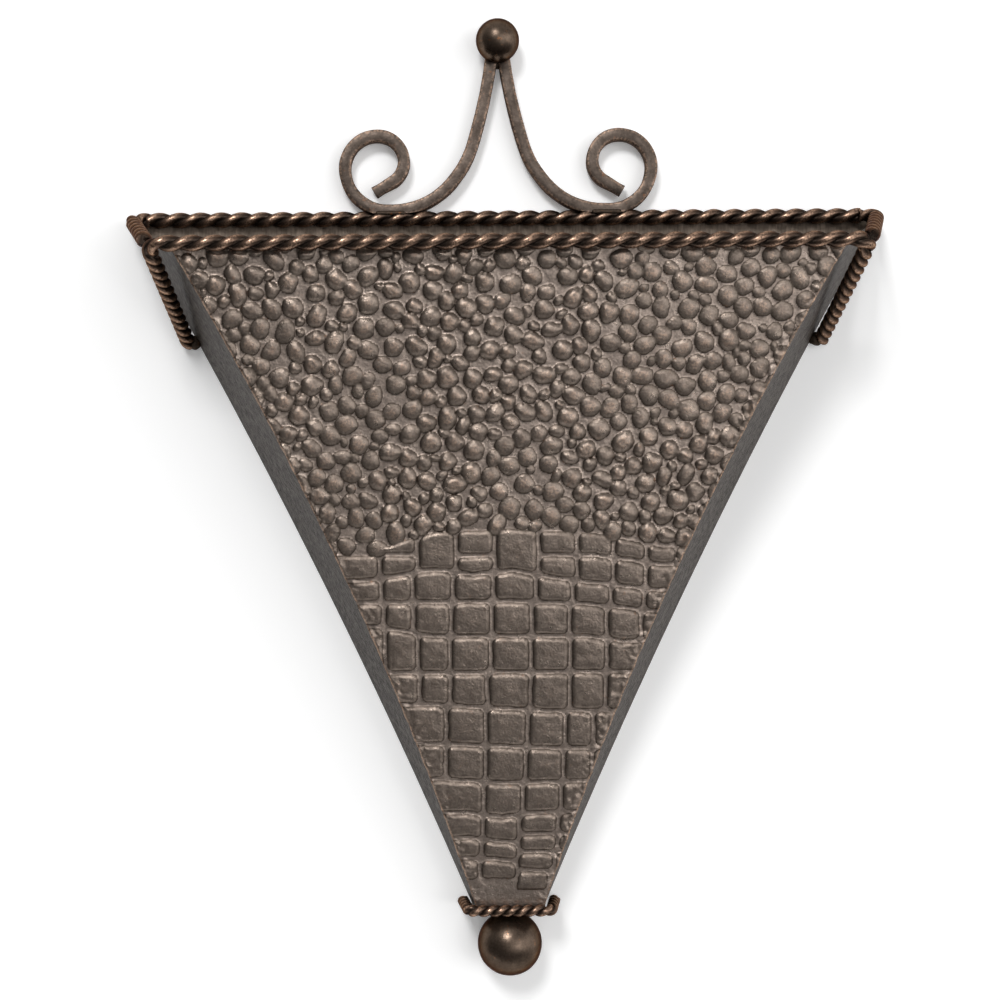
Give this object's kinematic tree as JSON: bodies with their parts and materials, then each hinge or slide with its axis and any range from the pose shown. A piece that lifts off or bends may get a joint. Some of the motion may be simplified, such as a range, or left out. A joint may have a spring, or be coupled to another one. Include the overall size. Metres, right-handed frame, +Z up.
{
  "type": "wall planter",
  "caption": "Tapered sheet-metal wall pocket with an embossed front, twisted rod edging, a scroll crest with a ball above and a ball finial below.",
  "frame": {"origin": "on the wall plane, midway between the two wall screw holes", "axes": "+Z up, +Y into the wall, -Y out of the planter's front, +X to the right as seen from the front"},
  "size_m": [0.3941, 0.096, 0.4965],
  "materials": {
    "embossed_sheet": "bronze patina, embossed, worn edges",
    "plain_sheet": "bronze patina, brushed along its length",
    "twisted_rod": "dark bronze patina rubbed to copper on the high spots",
    "square_bar": "forged, dark bronze patina, worn corners",
    "ball_steel": "dark bronze patina, satin, rust specks",
    "weld_metal": "brassy brown weld"
  },
  "bodies": {
    "root": {"front_panel": "embossed_sheet", "back_panel": "plain_sheet", "left_side_panel": "plain_sheet", "right_side_panel": "plain_sheet", "bottom_plate": "plain_sheet", "back_rim_rope": "twisted_rod", "left_rim_rope": "twisted_rod", "right_rim_rope": "twisted_rod", "front_rim_rope": "twisted_rod", "left_stay_rope": "twisted_rod", "right_stay_rope": "twisted_rod", "collar_rope": "twisted_rod", "left_scroll": "square_bar", "right_scroll": "square_bar", "top_ball": "ball_steel", "bottom_ball": "ball_steel", "scroll_welds": "weld_metal", "front_seam_tacks": "weld_metal", "back_seam_tacks": "weld_metal", "stay_welds": "weld_metal", "bottom_ball_stud": "weld_metal"}
  },
  "joints": []
}
